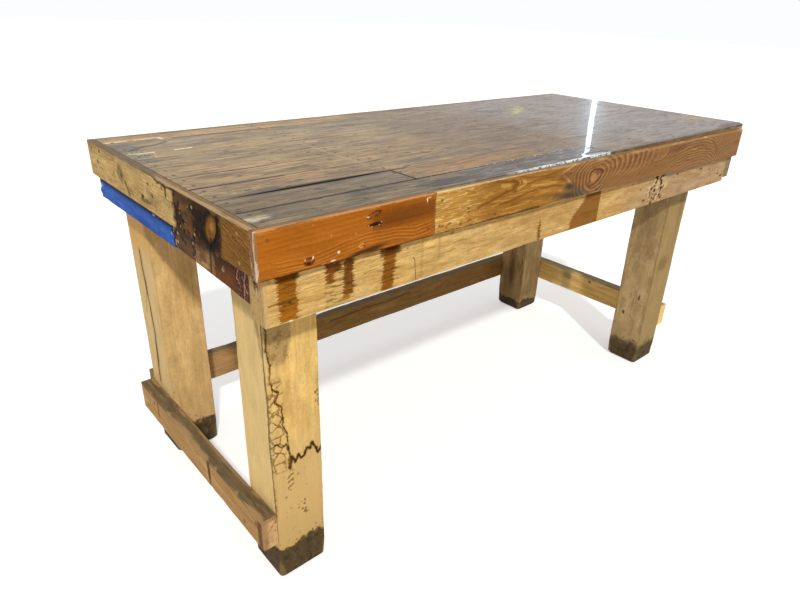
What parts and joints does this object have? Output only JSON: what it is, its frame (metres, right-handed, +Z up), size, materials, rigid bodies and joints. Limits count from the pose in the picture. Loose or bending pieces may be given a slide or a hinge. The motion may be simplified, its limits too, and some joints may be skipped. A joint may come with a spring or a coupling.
{
  "type": "assembly table",
  "caption": "Heavy timber assembly table with a planked top in edge boards, an apron frame, square posts and low stretchers.",
  "frame": {"origin": "bottom centre of the whole table's box, on the floor", "axes": "+X along the table to its overhanging right end, +Y to the back, +Z up"},
  "size_m": [1.886, 0.86, 0.922],
  "materials": {
    "post_timber": "worn, varnish over rough pine, dark wet feet",
    "frame_timber": "varnished pine with dark drips",
    "plank_timber": "weathered grey-brown, glossy varnish",
    "orange_edge_timber": "satin red-orange stain",
    "golden_edge_timber": "glossy golden brown, strong grain",
    "brown_edge_timber": "brown stained, varnished",
    "fastener_steel": "dull galvanised",
    "blue_tape": "matt crepe paper tape"
  },
  "bodies": {
    "root": {"leg_front_left": "post_timber", "leg_front_right": "post_timber", "leg_back_left": "post_timber", "leg_back_right": "post_timber", "front_apron": "frame_timber", "front_inner_rail": "frame_timber", "back_apron": "frame_timber", "left_end_apron": "frame_timber", "right_end_apron": "frame_timber", "right_end_board": "frame_timber", "cross_bearer_1": "frame_timber", "cross_bearer_2": "frame_timber", "cross_bearer_3": "frame_timber", "left_stretcher": "frame_timber", "right_stretcher": "frame_timber", "rear_stretcher": "frame_timber", "top_plank_1_left": "plank_timber", "top_plank_1_right": "plank_timber", "top_plank_2_left": "plank_timber", "top_plank_2_right": "plank_timber", "top_plank_3": "plank_timber", "top_plank_4": "plank_timber", "top_plank_5": "plank_timber", "top_plank_6": "plank_timber", "top_plank_7": "plank_timber", "top_plank_8": "plank_timber", "top_plank_9": "plank_timber", "front_edge_board_left": "orange_edge_timber", "front_edge_board_right": "golden_edge_timber", "left_end_edge_board": "brown_edge_timber", "back_edge_strip": "brown_edge_timber", "plank_nails": "fastener_steel", "edge_board_nails": "fastener_steel", "bearer_nails": "fastener_steel", "frame_nails": "fastener_steel", "leg_screws": "fastener_steel", "stretcher_screws": "fastener_steel", "blue_tape_strip": "blue_tape"}
  },
  "joints": []
}
